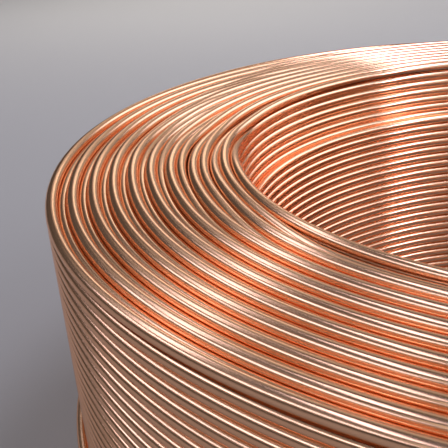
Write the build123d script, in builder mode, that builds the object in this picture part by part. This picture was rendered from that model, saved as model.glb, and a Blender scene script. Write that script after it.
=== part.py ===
from build123d import *
from math import radians, sqrt, tan
import os

# Copper tube in a level-wound coil, standing on one end with its axis upright.
# Millimetres. +Z is up along the coil's axis, and the origin is the middle of the rings it stands on.

# The tube and how tightly it is wound
tube_diameter = 9.525
turn_gap = 0.375
bore_diameter = 610.0

# Tall layers reach both ends. A low layer between each two of them sits half a turn out of step
# with them, in the hollows of their turns, so its end rings lie half a turn deep.
tall_layers = 10
tall_layer_turns = 31

# Play of the innermost tall layer, which has sprung in from the rest of the winding
inner_slack = 7.3

# Part layers: one lines the bore and one goes round the outer wall. Both stop short of the upper end,
# this many whole turns below it, and leave a ledge there.
bore_ledge_turns = 6
wall_ledge_turns = 21

# Flat that stands for the crown of each ring on the upper end
crown_width = 3.0

# Of the grooves between turns on the outer wall, above its ledge, every fourth one is cut. Its flanks
# lean this far from the wall, in degrees, and touch the turns above and below it.
turns_per_groove = 4
groove_flank = 55.0

# Winding geometry: the tubes of neighbouring layers touch, so two turns and the one nested
# between them make a triangle that gives the step from layer to layer
turn_pitch = tube_diameter + turn_gap
nest_drop = turn_pitch / 2
layer_step = sqrt(tube_diameter**2 - nest_drop**2)
coil_height = (tall_layer_turns - 1) * turn_pitch + tube_diameter
groove_mouth = turn_pitch - tube_diameter * tan(radians(groove_flank / 2))
groove_depth = groove_mouth / 2 * tan(radians(groove_flank))

# The hollows on the two ends are as deep as the line where tall and low rings touch
hollow_depth = (tube_diameter + nest_drop) / 2

# Centre lines of the tall layers, from the bore outwards
bore_radius = bore_diameter / 2
innermost_radius = bore_radius + tube_diameter / 2 + layer_step
tall_radii = [innermost_radius + 2 * layer_step * i for i in range(tall_layers)]
tall_radii[1:] = [radius + inner_slack for radius in tall_radii[1:]]

# Walls of the tall layers, without the part layers
inner_wall_radius = tall_radii[0] - tube_diameter / 2
outer_wall_radius = tall_radii[-1] + tube_diameter / 2

# Heights of the two ledges, each half a turn out of step with the tall layer beside it
bore_ledge_height = coil_height - bore_ledge_turns * turn_pitch - nest_drop
wall_ledge_height = coil_height - wall_ledge_turns * turn_pitch - nest_drop


def layer_band(inner_radius, outer_radius, foot, top):
    """Half section of layers that lie side by side, between two heights."""
    with Locations((inner_radius, foot)):
        Rectangle(outer_radius - inner_radius, top - foot, align=(Align.MIN, Align.MIN))


def end_hollows(end_height, crown, turned):
    """Hollows over the low layers in one end of the section, each between two tall layers' crowns."""
    for inner, outer in zip(tall_radii, tall_radii[1:]):
        mouth = outer - inner - crown
        with Locations(((inner + outer) / 2, end_height)):
            Polygon(
                (-mouth / 2, 0),
                (mouth / 2, 0),
                (0, hollow_depth),
                rotation=turned,
                align=(Align.CENTER, Align.MIN),
                mode=Mode.SUBTRACT,
            )


def wall_grooves():
    """Grooves in the outer wall, from its top turn down, each with a full set of turns below it."""
    for turn in range(turns_per_groove, wall_ledge_turns - turns_per_groove, turns_per_groove):
        valley = coil_height - tube_diameter / 2 - (turn - 0.5) * turn_pitch
        with Locations((outer_wall_radius, valley)):
            Polygon(
                (0, -groove_mouth / 2),
                (0, groove_mouth / 2),
                (-groove_depth, 0),
                align=(Align.MAX, Align.CENTER),
                mode=Mode.SUBTRACT,
            )


with BuildPart() as tube_coil:
    with BuildSketch(Plane.XZ) as winding_section:
        # Tall and low layers, with the low layers' rings sunk at both ends
        layer_band(inner_wall_radius, outer_wall_radius, 0, coil_height)
        end_hollows(0, crown=0, turned=0)
        end_hollows(coil_height, crown=crown_width, turned=180)
        wall_grooves()
        # Part layer that lines the bore, and part layer around the outer wall
        layer_band(bore_radius, inner_wall_radius, 0, bore_ledge_height)
        layer_band(outer_wall_radius, outer_wall_radius + layer_step, 0, wall_ledge_height)
    revolve(axis=Axis.Z)

tube_coil.part.label = "tube_coil"

os.makedirs("parts", exist_ok=True)
export_step(tube_coil.part, "parts/tube_coil.step")
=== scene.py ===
import math

import bpy
import numpy as np
from mathutils import Matrix, Vector


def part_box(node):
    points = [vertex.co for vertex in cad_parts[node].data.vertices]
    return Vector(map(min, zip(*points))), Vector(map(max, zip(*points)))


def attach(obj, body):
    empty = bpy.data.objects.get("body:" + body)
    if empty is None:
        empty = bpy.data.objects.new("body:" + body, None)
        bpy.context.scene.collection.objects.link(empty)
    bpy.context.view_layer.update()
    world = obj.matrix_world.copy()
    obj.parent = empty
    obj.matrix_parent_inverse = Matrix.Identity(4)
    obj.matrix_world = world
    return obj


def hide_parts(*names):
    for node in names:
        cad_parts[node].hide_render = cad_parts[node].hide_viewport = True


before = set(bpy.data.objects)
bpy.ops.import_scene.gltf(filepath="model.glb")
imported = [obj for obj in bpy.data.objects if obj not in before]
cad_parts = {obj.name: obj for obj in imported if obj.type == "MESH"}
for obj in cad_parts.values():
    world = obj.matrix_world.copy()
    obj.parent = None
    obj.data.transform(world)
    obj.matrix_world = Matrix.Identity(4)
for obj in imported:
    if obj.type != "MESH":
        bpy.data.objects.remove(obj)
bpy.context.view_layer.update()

# Metres. The coil stands on its lower end, and +Z is up along its axis.

# The tube and how tightly it is wound
tube_radius = 0.0047625
turn_pitch = 0.0099
nest_drop = turn_pitch / 2
layer_step = round(math.sqrt((2 * tube_radius) ** 2 - nest_drop**2), 7)
bore_radius = 0.305

# Tall layers reach both ends, and a low layer lies between each two of them
tall_layers = 10
tall_turns = 31
innermost_radius = bore_radius + tube_radius + layer_step
inner_slack = 0.0073
tall_radii = [innermost_radius + 2 * layer_step * i + (inner_slack if i else 0.0) for i in range(tall_layers)]
low_radii = [(a + b) / 2 for a, b in zip(tall_radii, tall_radii[1:])]

# Part layers in the bore and around the outer wall
bore_layer_turns = 24
wall_layer_turns = 9
bore_layer_radius = bore_radius + tube_radius

# Everything stays this far inside the box of the solid
inset = 0.00006
low_corner, high_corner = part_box("tube_coil")
reach = min(-low_corner.x, high_corner.x, -low_corner.y, high_corner.y) - inset
foot_height = low_corner.z + tube_radius + inset
top_height = high_corner.z - tube_radius - inset
wall_layer_radius = reach - tube_radius

# Steps round one turn
outer_steps = 288
inner_steps = 216
core_steps = 144

# Part of the tube's girth that is built where it shows, and the faces across it. The two angles are in
# degrees: 0 faces away from the coil's axis and 90 faces up.
upper_girth = (-35.0, 215.0, 14)
under_girth = (20.0, 160.0, 8)
outer_wall_girth = (-100.0, 100.0, 12)
outer_layer_girth = (-100.0, 140.0, 14)
bore_wall_girth = (80.0, 280.0, 12)
bore_layer_girth = (40.0, 280.0, 14)
lower_tall_girth = (145.0, 395.0, 12)
lower_low_girth = (180.0, 360.0, 8)


def ease(t):
    """Runs from 0 to 1 with no slope and no bend at either end."""
    t = np.clip(t, 0.0, 1.0)
    return t * t * t * (t * (6.0 * t - 15.0) + 10.0)


def angles_between(first, last, steps):
    """Angles along a path, in radians, with so many steps to a turn."""
    count = int(round((last - first) / 360.0 * steps))
    return np.radians(np.linspace(first, last, count + 1))


def tube_mesh(theta, radius, height, girth):
    """Tube along a path round the axis, as corners, faces and their places along the tube."""
    first, last, sides = girth
    ring = sides + 1
    psi = np.radians(first + (last - first) * np.arange(ring) / sides)
    reach_out = radius[:, None] + tube_radius * np.cos(psi)[None, :]
    co = np.stack(
        [
            reach_out * np.cos(theta)[:, None],
            reach_out * np.sin(theta)[:, None],
            height[:, None] + tube_radius * np.sin(psi)[None, :],
        ],
        -1,
    ).reshape(-1, 3)
    i, j = np.meshgrid(np.arange(len(theta) - 1), np.arange(sides), indexing="ij")
    near = i * ring + j
    far = near + ring
    quads = np.stack([near, far, far + 1, near + 1], -1).reshape(-1, 4)
    run = np.concatenate([[0.0], np.cumsum(np.abs(np.diff(theta)) * (radius[1:] + radius[:-1]) / 2)])
    round_tube = first / 360.0 + (last - first) / 360.0 * np.arange(ring) / sides
    uv = np.stack(
        [
            np.stack([run[i], round_tube[j]], -1),
            np.stack([run[i + 1], round_tube[j]], -1),
            np.stack([run[i + 1], round_tube[j + 1]], -1),
            np.stack([run[i], round_tube[j + 1]], -1),
        ],
        2,
    ).reshape(-1, 2)
    return co, quads, uv


def build_piece(name, parts, material):
    """One mesh object from several stretches of tube."""
    co, quads, uv = [], [], []
    count = 0
    for part_co, part_quads, part_uv in parts:
        co.append(part_co)
        quads.append(part_quads + count)
        uv.append(part_uv)
        count += len(part_co)
    co = np.concatenate(co)
    quads = np.concatenate(quads)
    uv = np.concatenate(uv)
    mesh = bpy.data.meshes.new(name)
    mesh.vertices.add(len(co))
    mesh.vertices.foreach_set("co", co.astype(np.float32).ravel())
    mesh.loops.add(quads.size)
    mesh.loops.foreach_set("vertex_index", quads.astype(np.int32).ravel())
    mesh.polygons.add(len(quads))
    mesh.polygons.foreach_set("loop_start", np.arange(0, quads.size, 4, dtype=np.int32))
    mesh.polygons.foreach_set("use_smooth", np.ones(len(quads), bool))
    layer = mesh.uv_layers.new(name="along_tube")
    layer.data.foreach_set("uv", uv.astype(np.float32).ravel())
    mesh.update(calc_edges=True)
    mesh.validate()
    mesh.materials.append(material)
    obj = bpy.data.objects.new(name, mesh)
    bpy.context.scene.collection.objects.link(obj)
    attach(obj, "root")
    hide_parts("tube_coil")
    return obj


def copper_material():
    """Bare drawn copper: bright, with fine lines along the tube and faint changes of tone."""
    material = bpy.data.materials.new("drawn_copper")
    material.use_nodes = True
    nodes = material.node_tree.nodes
    links = material.node_tree.links
    shader = nodes["Principled BSDF"]
    shader.inputs["Metallic"].default_value = 1.0
    shader.inputs["Specular Tint"].default_value = (1.0, 0.84, 0.745, 1.0)
    place = nodes.new("ShaderNodeUVMap")
    place.uv_map = "along_tube"

    # Fine lines left by the drawing die
    line_scale = nodes.new("ShaderNodeMapping")
    line_scale.inputs["Scale"].default_value = (1.5, 60.0, 1.0)
    links.new(place.outputs["UV"], line_scale.inputs["Vector"])
    lines = nodes.new("ShaderNodeTexNoise")
    lines.inputs["Scale"].default_value = 1.0
    lines.inputs["Detail"].default_value = 3.0
    links.new(line_scale.outputs["Vector"], lines.inputs["Vector"])
    bump = nodes.new("ShaderNodeBump")
    bump.inputs["Strength"].default_value = 0.07
    bump.inputs["Distance"].default_value = 0.0004
    links.new(lines.outputs["Fac"], bump.inputs["Height"])
    links.new(bump.outputs["Normal"], shader.inputs["Normal"])

    # Slow changes of tone along each turn
    tone_scale = nodes.new("ShaderNodeMapping")
    tone_scale.inputs["Scale"].default_value = (2.0, 1.0, 1.0)
    links.new(place.outputs["UV"], tone_scale.inputs["Vector"])
    tone = nodes.new("ShaderNodeTexNoise")
    tone.inputs["Scale"].default_value = 1.0
    tone.inputs["Detail"].default_value = 2.0
    links.new(tone_scale.outputs["Vector"], tone.inputs["Vector"])
    colours = nodes.new("ShaderNodeValToRGB")
    colours.color_ramp.elements[0].position = 0.3
    colours.color_ramp.elements[0].color = (0.95, 0.53, 0.305, 1.0)
    colours.color_ramp.elements[1].position = 0.7
    colours.color_ramp.elements[1].color = (0.97, 0.57, 0.35, 1.0)
    links.new(tone.outputs["Fac"], colours.inputs["Fac"])
    links.new(colours.outputs["Color"], shader.inputs["Base Color"])

    # Roughness follows the drawn lines
    gloss = nodes.new("ShaderNodeMapRange")
    gloss.inputs["From Min"].default_value = 0.3
    gloss.inputs["From Max"].default_value = 0.7
    gloss.inputs["To Min"].default_value = 0.16
    gloss.inputs["To Max"].default_value = 0.24
    links.new(lines.outputs["Fac"], gloss.inputs["Value"])
    links.new(gloss.outputs["Result"], shader.inputs["Roughness"])
    return material


copper = copper_material()

# Where the tube climbs onto each tall layer's end ring and, a turn later, where it sinks from there to
# the low layer outside it, in degrees round the axis from +X. The outer crossings come first. From the
# outermost ring it goes down to the outer wall.
climb_angles = [-163.0, -157.0, -165.0, -174.0, -184.0, -195.0, -207.0, -219.0, -231.0, -243.0]
sink_angles = [-130.0, -134.0, -142.0, -154.0, -166.0, -178.0, -190.0, -202.0, -214.0]
wall_start = -263.0
crossing_width = 38.0

# A tube that has climbed settles into its layer this much further round
settling = 20.0

# On its left the innermost layer takes up part of its play, less from turn to turn down the bore
play_taken = 0.004
play_from, play_to = 60.0, 170.0

# Tubes that lie against each other, a little pressed together
contact = 2 * tube_radius - 0.0004

# Rounding of the path where the tube is pushed out, in steps
rounding = 17

# Slits that are left beside the tube where it is about to sink: turn, angle and width
slit_places = [(1, -147.0, 0.0007), (3, -145.0, 0.0009), (5, -158.0, 0.0018), (7, -169.0, 0.0009)]
slit_reach = 18.0


def passed(degrees, centre):
    """Share of a crossing that the tube has made at these angles."""
    return ease((degrees - centre) / crossing_width + 0.5)


def play_share(degrees):
    """How far the innermost layer has moved out at these angles, from 0 to 1."""
    growth = ease((degrees - play_from) / (play_to - play_from))
    return growth * (1.0 - passed(degrees, sink_angles[0] + 360.0))


def upper_end():
    """The tube's path over the upper end: tall and low rings in turn, from the bore to the outer wall."""
    first = climb_angles[0] - crossing_width / 2
    last = wall_start + crossing_width / 2 + 360.0 * (2 * tall_layers - 1)
    theta = angles_between(first, last, outer_steps)
    degrees = np.degrees(theta)
    radius = np.full(len(theta), tall_radii[0])
    height = top_height - turn_pitch * (1.0 - passed(degrees, climb_angles[0]))
    for i in range(tall_layers - 1):
        sink = sink_angles[i] + 360.0 * (2 * i + 1)
        climb = climb_angles[i + 1] + 360.0 * (2 * i + 2)
        radius = radius + (low_radii[i] - tall_radii[i]) * passed(degrees, sink)
        radius = radius + (tall_radii[i + 1] - low_radii[i]) * passed(degrees, climb + settling)
        height = height - nest_drop * passed(degrees, sink)
        height = height + nest_drop * passed(degrees, climb)
    height = height - turn_pitch * passed(degrees, wall_start + 360.0 * (2 * tall_layers - 1))

    # Play of the first ring, which starts from the turn below it
    from_below = 1.0 - passed(degrees, climb_angles[0])
    radius = radius + play_taken * (play_share(degrees) + from_below)

    # Each pass is pushed out by the one inside it
    slit = np.zeros(len(theta))
    for turn, angle, width in slit_places:
        slit = slit + width * ease(1.0 - np.abs(degrees - angle - 360.0 * turn) / slit_reach)
    for k in range(outer_steps, len(theta)):
        room = contact**2 - (height[k] - height[k - outer_steps]) ** 2
        if room > 0.0:
            radius[k] = max(radius[k], radius[k - outer_steps] + math.sqrt(room) + slit[k])
    blend = np.hanning(rounding)
    blend = blend / blend.sum()
    radius = np.convolve(np.pad(radius, rounding // 2, mode="edge"), blend, "valid")
    return theta, radius, height


theta, radius, height = upper_end()
build_piece("upper_end", [tube_mesh(theta, radius, height, upper_girth)], copper)


def wall_turns(radius_at, start, turns, girth):
    """Turns of the outer wall, from start downwards. Each is a pitch lower after the crossing than before."""
    begin = wall_start + crossing_width / 2
    theta = angles_between(begin, begin + 360.0 * turns, outer_steps)
    degrees = np.degrees(theta)
    height = np.full(len(theta), start)
    for turn in range(1, turns + 1):
        height = height - turn_pitch * passed(degrees, wall_start + 360.0 * turn)
    radius = np.full(len(theta), radius_at)
    return tube_mesh(theta, radius, height, girth)


def plain_rings(radius_at, heights, girth, steps):
    """Closed rings at the given heights. The radius may change round the ring."""
    theta = angles_between(-180.0, 180.0, steps)
    radius = np.full(len(theta), radius_at)
    return [tube_mesh(theta, radius, np.full(len(theta), at), girth) for at in heights]


# Turns just under the upper end's tall rings, which show where the tube crosses from ring to ring
under_rings = []
for ring_radius in tall_radii[1:-1]:
    under_rings += plain_rings(ring_radius, [top_height - turn_pitch], under_girth, inner_steps)
build_piece("under_rings", under_rings, copper)

# Outer wall, down to the part layer's ledge and a turn behind it
outer_wall_turns = tall_turns - wall_layer_turns
outer_wall = wall_turns(tall_radii[-1], top_height - turn_pitch, outer_wall_turns, outer_wall_girth)
build_piece("outer_wall", [outer_wall], copper)

wall_layer_heights = [foot_height + nest_drop + turn_pitch * i for i in range(wall_layer_turns)]
outer_part_layer = plain_rings(wall_layer_radius, wall_layer_heights, outer_layer_girth, outer_steps)
build_piece("outer_part_layer", outer_part_layer, copper)

# Bore, down to the part layer's ledge and two turns behind it. The play closes over its first turns.
bore_wall_turns = tall_turns - bore_layer_turns + 1
play_turns = 5
azimuths = np.linspace(-180.0, 180.0, inner_steps + 1)
play = play_share(np.where(azimuths < play_from, azimuths + 360.0, azimuths))
bore_wall = []
for turn in range(1, bore_wall_turns + 1):
    share = max(1.0 - (turn - 1) / play_turns, 0.0)
    bent = tall_radii[0] + play_taken * share * play
    bore_wall += plain_rings(bent, [top_height - turn_pitch * turn], bore_wall_girth, inner_steps)
build_piece("bore_wall", bore_wall, copper)

bore_layer_heights = [foot_height + nest_drop + turn_pitch * i for i in range(bore_layer_turns)]
bore_part_layer = plain_rings(bore_layer_radius, bore_layer_heights, bore_layer_girth, inner_steps)
build_piece("bore_part_layer", bore_part_layer, copper)

# Lower end
lower = []
for ring_radius in tall_radii:
    lower += plain_rings(ring_radius, [foot_height], lower_tall_girth, inner_steps)
for ring_radius in low_radii:
    lower += plain_rings(ring_radius, [foot_height + nest_drop], lower_low_girth, inner_steps)
build_piece("lower_end", lower, copper)


def core():
    """What lies behind the turns that show, as one turned body."""
    depth = 0.001
    inside = bore_layer_radius + depth
    outside = wall_layer_radius - depth
    bore_ledge = bore_layer_heights[-1]
    wall_ledge = wall_layer_heights[-1]
    outline = [
        (inside, foot_height + nest_drop),
        (inside, bore_ledge),
        (tall_radii[0], bore_ledge),
        (tall_radii[0], top_height - turn_pitch),
        (tall_radii[-1], top_height - turn_pitch),
        (tall_radii[-1], wall_ledge),
        (outside, wall_ledge),
        (outside, foot_height + nest_drop),
    ]
    co = []
    for i in range(core_steps):
        angle = 2 * math.pi * i / core_steps
        co += [(r * math.cos(angle), r * math.sin(angle), z) for r, z in outline]
    corners = len(outline)
    faces = []
    for i in range(core_steps):
        here = i * corners
        there = (i + 1) % core_steps * corners
        for j in range(corners):
            after = (j + 1) % corners
            faces.append((here + j, here + after, there + after, there + j))
    mesh = bpy.data.meshes.new("core")
    mesh.from_pydata(co, [], faces)
    mesh.update()
    mesh.materials.append(copper)
    obj = bpy.data.objects.new("core", mesh)
    bpy.context.scene.collection.objects.link(obj)
    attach(obj, "root")
    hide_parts("tube_coil")


core()


def photo_camera():
    """Camera at the photograph's viewing angle."""
    place = (0.0, -0.73225, 0.51812)
    heading = math.radians(-24.145)
    dip = math.radians(25.827)
    tilt = math.radians(-3.166)
    camera = bpy.data.objects.new("camera", bpy.data.cameras.new("camera"))
    camera.matrix_world = (
        Matrix.Translation(place)
        @ Matrix.Rotation(-heading, 4, "Z")
        @ Matrix.Rotation(math.pi / 2 - dip, 4, "X")
        @ Matrix.Rotation(tilt, 4, "Z")
    )
    camera.data.lens = 62.491
    camera.data.shift_x = -0.0848
    camera.data.shift_y = 0.0848
    camera.data.clip_start = 0.01
    bpy.context.scene.collection.objects.link(camera)
    bpy.context.scene.camera = camera


photo_camera()


def plain_floor(half_width):
    """Plain pale floor, just under the coil."""
    h = half_width
    mesh = bpy.data.meshes.new("floor")
    mesh.from_pydata([(-h, -h, 0), (h, -h, 0), (h, h, 0), (-h, h, 0)], [], [(0, 1, 2, 3)])
    floor = bpy.data.objects.new("floor", mesh)
    floor.location.z = -0.0002
    material = bpy.data.materials.new("floor")
    material.use_nodes = True
    shader = material.node_tree.nodes["Principled BSDF"]
    shader.inputs["Base Color"].default_value = (0.36, 0.336, 0.3, 1.0)
    shader.inputs["Roughness"].default_value = 0.9
    mesh.materials.append(material)
    bpy.context.scene.collection.objects.link(floor)


plain_floor(30.0)


def soft_lamp(name, azimuth, elevation, distance, width, height, brightness, colour=(1.0, 1.0, 1.0)):
    """Area lamp that faces the coil, placed by its direction from the coil."""
    aim = Vector((0.0, 0.0, 0.25))
    a = math.radians(azimuth)
    e = math.radians(elevation)
    way = Vector((math.cos(a) * math.cos(e), math.sin(a) * math.cos(e), math.sin(e)))
    lamp = bpy.data.lights.new(name, "AREA")
    lamp.shape = "RECTANGLE"
    lamp.size = width
    lamp.size_y = height
    lamp.energy = brightness * math.pi * width * height
    lamp.color = colour
    obj = bpy.data.objects.new(name, lamp)
    obj.location = aim + way * distance
    obj.rotation_euler = way.to_track_quat("Z", "Y").to_euler()
    bpy.context.scene.collection.objects.link(obj)


# Narrow panels make the bright line on each turn, and wide dim ones the tone beside it. The numbers are
# azimuth and elevation in degrees, distance, width and height in metres, and brightness.
cool = (0.95, 1.0, 1.35)
soft_lamp("top_panel", 45.0, 67.0, 5.0, 3.2, 1.2, 6.0, cool)
soft_lamp("top_wide_panel", 45.0, 60.0, 5.4, 4.4, 2.4, 0.4)
soft_lamp("right_strip", -7.0, 24.0, 5.0, 0.45, 4.6, 11.0, cool)
soft_lamp("right_high_panel", -6.5, 52.0, 5.0, 0.8, 0.9, 2.2, cool)
soft_lamp("right_panel", -19.0, 26.0, 5.2, 2.6, 4.4, 0.5)
soft_lamp("right_wide_panel", 45.0, 24.0, 5.4, 8.0, 4.2, 0.65)
soft_lamp("right_line_panel", 45.0, 29.0, 5.1, 7.5, 1.6, 1.7, cool)
soft_lamp("back_panel", 112.0, 22.0, 5.2, 3.6, 4.4, 0.32)
soft_lamp("back_left_panel", 117.0, 18.0, 5.0, 1.4, 0.45, 1.7)
soft_lamp("left_panel", 158.0, 44.0, 5.0, 2.8, 0.6, 2.7, cool)
soft_lamp("left_wide_panel", 160.0, 40.0, 5.2, 3.0, 2.4, 0.2)
soft_lamp("left_high_panel", -172.0, 70.0, 5.0, 3.6, 0.6, 3.8, cool)
soft_lamp("front_left_panel", -148.0, 30.0, 5.0, 6.5, 0.7, 2.8, cool)
soft_lamp("front_left_wide_panel", -148.0, 32.0, 5.2, 6.5, 3.4, 0.15)
soft_lamp("front_panel", -80.0, 40.0, 5.2, 4.5, 3.0, 0.7)


def far_floor_lamp():
    """Lamp over the floor behind the coil, with a narrow spread that misses the coil."""
    lamp = bpy.data.lights.new("floor_lamp", "AREA")
    lamp.size = 2.5
    lamp.spread = math.radians(80.0)
    lamp.energy = 22.0
    obj = bpy.data.objects.new("floor_lamp", lamp)
    obj.location = (-2.0, 3.0, 3.2)
    bpy.context.scene.collection.objects.link(obj)


far_floor_lamp()

# Dim even surroundings
world = bpy.data.worlds.new("world")
world.use_nodes = True
world.node_tree.nodes["Background"].inputs["Color"].default_value = (0.07, 0.07, 0.07, 1.0)
bpy.context.scene.world = world
bpy.context.scene.view_settings.view_transform = "Standard"
